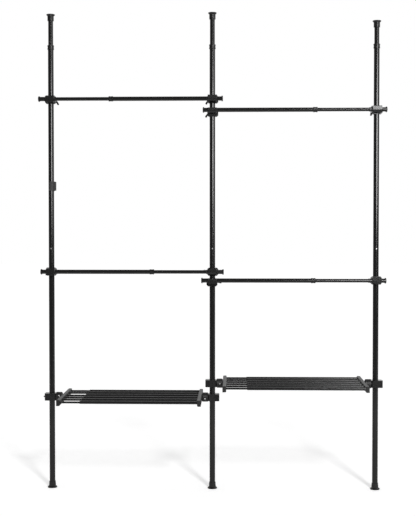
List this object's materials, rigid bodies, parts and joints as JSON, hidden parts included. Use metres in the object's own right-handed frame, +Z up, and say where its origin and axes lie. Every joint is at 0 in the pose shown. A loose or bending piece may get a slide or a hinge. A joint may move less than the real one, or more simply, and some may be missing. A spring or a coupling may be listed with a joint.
{
  "type": "ceiling clothes rail",
  "caption": "Floor-to-ceiling clothes rail: clamped poles with telescopic hanging rails at several heights and tilting, extending tube shelves near the floor.",
  "frame": {"origin": "centre of the middle foot's underside on the floor", "axes": "+Z up along the poles, +X along the rails to the right, +Y from the front to the back"},
  "size_m": [1.536, 0.33, 2.114],
  "materials": {
    "coated_steel": "satin black powder coat on steel tube",
    "black_plastic": "fine-grained moulded black plastic",
    "zinc_steel": "bright zinc-plated steel"
  },
  "bodies": {
    "left_pole": {"left_foot": "black_plastic", "left_lower_tube": "coated_steel", "left_upper_tube": "coated_steel", "left_collar": "black_plastic"},
    "middle_pole": {"middle_foot": "black_plastic", "middle_lower_tube": "coated_steel", "middle_upper_tube": "coated_steel", "middle_collar": "black_plastic"},
    "right_pole": {"right_foot": "black_plastic", "right_lower_tube": "coated_steel", "right_upper_tube": "coated_steel", "right_collar": "black_plastic"},
    "left_extension": {"left_extension_tube": "coated_steel", "left_ceiling_cap": "black_plastic"},
    "middle_extension": {"middle_extension_tube": "coated_steel", "middle_ceiling_cap": "black_plastic"},
    "right_extension": {"right_extension_tube": "coated_steel", "right_ceiling_cap": "black_plastic"},
    "left_button": {"left_snap_button": "zinc_steel"},
    "middle_button": {"middle_snap_button": "zinc_steel"},
    "right_button": {"right_snap_button": "zinc_steel"},
    "clip": {"pole_clip": "black_plastic"},
    "top_left_rail_near": {"top_left_rail_outer_tube": "coated_steel", "top_left_rail_middle_pole_clamp": "black_plastic"},
    "top_left_rail_far": {"top_left_rail_inner_tube": "coated_steel", "top_left_rail_left_pole_clamp": "black_plastic"},
    "top_left_rail_middle_pole_wing_screw": {"top_left_rail_middle_pole_wing_screw": "black_plastic"},
    "top_left_rail_left_pole_wing_screw": {"top_left_rail_left_pole_wing_screw": "black_plastic"},
    "top_right_rail_near": {"top_right_rail_outer_tube": "coated_steel", "top_right_rail_middle_pole_clamp": "black_plastic"},
    "top_right_rail_far": {"top_right_rail_inner_tube": "coated_steel", "top_right_rail_right_pole_clamp": "black_plastic"},
    "top_right_rail_middle_pole_wing_screw": {"top_right_rail_middle_pole_wing_screw": "black_plastic"},
    "top_right_rail_right_pole_wing_screw": {"top_right_rail_right_pole_wing_screw": "black_plastic"},
    "mid_left_rail_near": {"mid_left_rail_inner_tube": "coated_steel", "mid_left_rail_middle_pole_clamp": "black_plastic"},
    "mid_left_rail_far": {"mid_left_rail_outer_tube": "coated_steel", "mid_left_rail_left_pole_clamp": "black_plastic"},
    "mid_left_rail_middle_pole_wing_screw": {"mid_left_rail_middle_pole_wing_screw": "black_plastic"},
    "mid_left_rail_left_pole_wing_screw": {"mid_left_rail_left_pole_wing_screw": "black_plastic"},
    "mid_right_rail_near": {"mid_right_rail_outer_tube": "coated_steel", "mid_right_rail_middle_pole_clamp": "black_plastic"},
    "mid_right_rail_far": {"mid_right_rail_inner_tube": "coated_steel", "mid_right_rail_right_pole_clamp": "black_plastic"},
    "mid_right_rail_middle_pole_wing_screw": {"mid_right_rail_middle_pole_wing_screw": "black_plastic"},
    "mid_right_rail_right_pole_wing_screw": {"mid_right_rail_right_pole_wing_screw": "black_plastic"},
    "left_shelf_near_clamp": {"left_shelf_outer_clamp": "black_plastic"},
    "left_shelf_near_rack": {"left_shelf_outer_end_bar": "black_plastic", "left_shelf_outer_tubes": "coated_steel"},
    "left_shelf_far_rack": {"left_shelf_inner_end_bar": "black_plastic", "left_shelf_inner_tubes": "coated_steel"},
    "left_shelf_far_clamp": {"left_shelf_inner_clamp": "black_plastic"},
    "right_shelf_near_clamp": {"right_shelf_inner_clamp": "black_plastic"},
    "right_shelf_near_rack": {"right_shelf_inner_end_bar": "black_plastic", "right_shelf_inner_tubes": "coated_steel"},
    "right_shelf_far_rack": {"right_shelf_outer_end_bar": "black_plastic", "right_shelf_outer_tubes": "coated_steel"},
    "right_shelf_far_clamp": {"right_shelf_outer_clamp": "black_plastic"}
  },
  "joints": [
    {"name": "left_pole_slide", "type": "slide", "parent": "middle_pole", "child": "left_pole", "axis": [-1, 0, 0], "range_m": [-0.08, 0.1]},
    {"name": "right_pole_slide", "type": "slide", "parent": "middle_pole", "child": "right_pole", "axis": [1, 0, 0], "range_m": [-0.08, 0.1]},
    {"name": "left_extension_slide", "type": "slide", "parent": "left_pole", "child": "left_extension", "axis": [0, 0, 1], "range_m": [-0.108, 0.5]},
    {"name": "middle_extension_slide", "type": "slide", "parent": "middle_pole", "child": "middle_extension", "axis": [0, 0, 1], "range_m": [-0.112, 0.5]},
    {"name": "right_extension_slide", "type": "slide", "parent": "right_pole", "child": "right_extension", "axis": [0, 0, 1], "range_m": [-0.073, 0.5]},
    {"name": "left_button_press", "type": "slide", "parent": "left_pole", "child": "left_button", "axis": [0, 1, 0], "range_m": [0, 0.003], "stiffness_N_per_m": 800},
    {"name": "middle_button_press", "type": "slide", "parent": "middle_pole", "child": "middle_button", "axis": [0, 1, 0], "range_m": [0, 0.003], "stiffness_N_per_m": 800},
    {"name": "right_button_press", "type": "slide", "parent": "right_pole", "child": "right_button", "axis": [0, 1, 0], "range_m": [0, 0.003], "stiffness_N_per_m": 800},
    {"name": "clip_slide", "type": "slide", "parent": "left_pole", "child": "clip", "axis": [0, 0, 1], "range_m": [-0.2, 0.3]},
    {"name": "top_left_rail_lift", "type": "slide", "parent": "middle_pole", "child": "top_left_rail_near", "axis": [0, 0, 1], "range_m": [0, 0.19]},
    {"name": "top_left_rail_telescope", "type": "slide", "parent": "top_left_rail_near", "child": "top_left_rail_far", "axis": [-1, 0, 0], "range_m": [-0.08, 0.1]},
    {"name": "top_left_rail_middle_pole_wing_screw_turn", "type": "hinge", "parent": "top_left_rail_near", "child": "top_left_rail_middle_pole_wing_screw", "pos_m": [-0.0185, 0, 1.733], "axis": [0, 1, 0], "continuous": true},
    {"name": "top_left_rail_left_pole_wing_screw_turn", "type": "hinge", "parent": "top_left_rail_far", "child": "top_left_rail_left_pole_wing_screw", "pos_m": [-0.6995, 0, 1.733], "axis": [0, 1, 0], "continuous": true},
    {"name": "top_right_rail_lift", "type": "slide", "parent": "middle_pole", "child": "top_right_rail_near", "axis": [0, 0, 1], "range_m": [-0.56, 0]},
    {"name": "top_right_rail_telescope", "type": "slide", "parent": "top_right_rail_near", "child": "top_right_rail_far", "axis": [1, 0, 0], "range_m": [-0.08, 0.1]},
    {"name": "top_right_rail_middle_pole_wing_screw_turn", "type": "hinge", "parent": "top_right_rail_near", "child": "top_right_rail_middle_pole_wing_screw", "pos_m": [-0.0185, 0, 1.674], "axis": [0, 1, 0], "continuous": true},
    {"name": "top_right_rail_right_pole_wing_screw_turn", "type": "hinge", "parent": "top_right_rail_far", "child": "top_right_rail_right_pole_wing_screw", "pos_m": [0.7055, 0, 1.683], "axis": [0, 1, 0], "continuous": true},
    {"name": "mid_left_rail_lift", "type": "slide", "parent": "middle_pole", "child": "mid_left_rail_near", "axis": [0, 0, 1], "range_m": [0, 0.07]},
    {"name": "mid_left_rail_telescope", "type": "slide", "parent": "mid_left_rail_near", "child": "mid_left_rail_far", "axis": [-1, 0, 0], "range_m": [-0.08, 0.1]},
    {"name": "mid_left_rail_middle_pole_wing_screw_turn", "type": "hinge", "parent": "mid_left_rail_near", "child": "mid_left_rail_middle_pole_wing_screw", "pos_m": [-0.0185, 0, 0.969], "axis": [0, 1, 0], "continuous": true},
    {"name": "mid_left_rail_left_pole_wing_screw_turn", "type": "hinge", "parent": "mid_left_rail_far", "child": "mid_left_rail_left_pole_wing_screw", "pos_m": [-0.6995, 0, 0.969], "axis": [0, 1, 0], "continuous": true},
    {"name": "mid_right_rail_lift", "type": "slide", "parent": "middle_pole", "child": "mid_right_rail_near", "axis": [0, 0, 1], "range_m": [-0.2, 0]},
    {"name": "mid_right_rail_telescope", "type": "slide", "parent": "mid_right_rail_near", "child": "mid_right_rail_far", "axis": [1, 0, 0], "range_m": [-0.08, 0.1]},
    {"name": "mid_right_rail_middle_pole_wing_screw_turn", "type": "hinge", "parent": "mid_right_rail_near", "child": "mid_right_rail_middle_pole_wing_screw", "pos_m": [0.0185, 0, 0.922], "axis": [0, 1, 0], "continuous": true},
    {"name": "mid_right_rail_right_pole_wing_screw_turn", "type": "hinge", "parent": "mid_right_rail_far", "child": "mid_right_rail_right_pole_wing_screw", "pos_m": [0.7055, 0, 0.931], "axis": [0, 1, 0], "continuous": true},
    {"name": "left_shelf_lift", "type": "slide", "parent": "middle_pole", "child": "left_shelf_near_clamp", "axis": [0, 0, 1], "range_m": [-0.29, 0]},
    {"name": "left_shelf_tilt", "type": "hinge", "parent": "left_shelf_near_clamp", "child": "left_shelf_near_rack", "pos_m": [0, 0, 0.409], "axis": [1, 0, 0], "range_deg": [-20, 20]},
    {"name": "left_shelf_telescope", "type": "slide", "parent": "left_shelf_near_rack", "child": "left_shelf_far_rack", "axis": [-1, 0, 0], "range_m": [-0.08, 0.1]},
    {"name": "left_shelf_far_lift", "type": "slide", "parent": "left_pole", "child": "left_shelf_far_clamp", "axis": [0, 0, 1], "range_m": [-0.29, 0]},
    {"name": "right_shelf_lift", "type": "slide", "parent": "middle_pole", "child": "right_shelf_near_clamp", "axis": [0, 0, 1], "range_m": [0, 0.2]},
    {"name": "right_shelf_tilt", "type": "hinge", "parent": "right_shelf_near_clamp", "child": "right_shelf_near_rack", "pos_m": [0, 0, 0.4715], "axis": [1, 0, 0], "range_deg": [-20, 20]},
    {"name": "right_shelf_telescope", "type": "slide", "parent": "right_shelf_near_rack", "child": "right_shelf_far_rack", "axis": [1, 0, 0], "range_m": [-0.08, 0.1]},
    {"name": "right_shelf_far_lift", "type": "slide", "parent": "right_pole", "child": "right_shelf_far_clamp", "axis": [0, 0, 1], "range_m": [0, 0.2]}
  ],
  "couplings": [
    {"joint": "top_left_rail_telescope", "follows": "left_pole_slide", "ratio": 1},
    {"joint": "top_right_rail_telescope", "follows": "right_pole_slide", "ratio": 1},
    {"joint": "mid_left_rail_telescope", "follows": "left_pole_slide", "ratio": 1},
    {"joint": "mid_right_rail_telescope", "follows": "right_pole_slide", "ratio": 1},
    {"joint": "left_shelf_telescope", "follows": "left_pole_slide", "ratio": 1},
    {"joint": "left_shelf_far_lift", "follows": "left_shelf_lift", "ratio": 1},
    {"joint": "right_shelf_telescope", "follows": "right_pole_slide", "ratio": 1},
    {"joint": "right_shelf_far_lift", "follows": "right_shelf_lift", "ratio": 1}
  ]
}
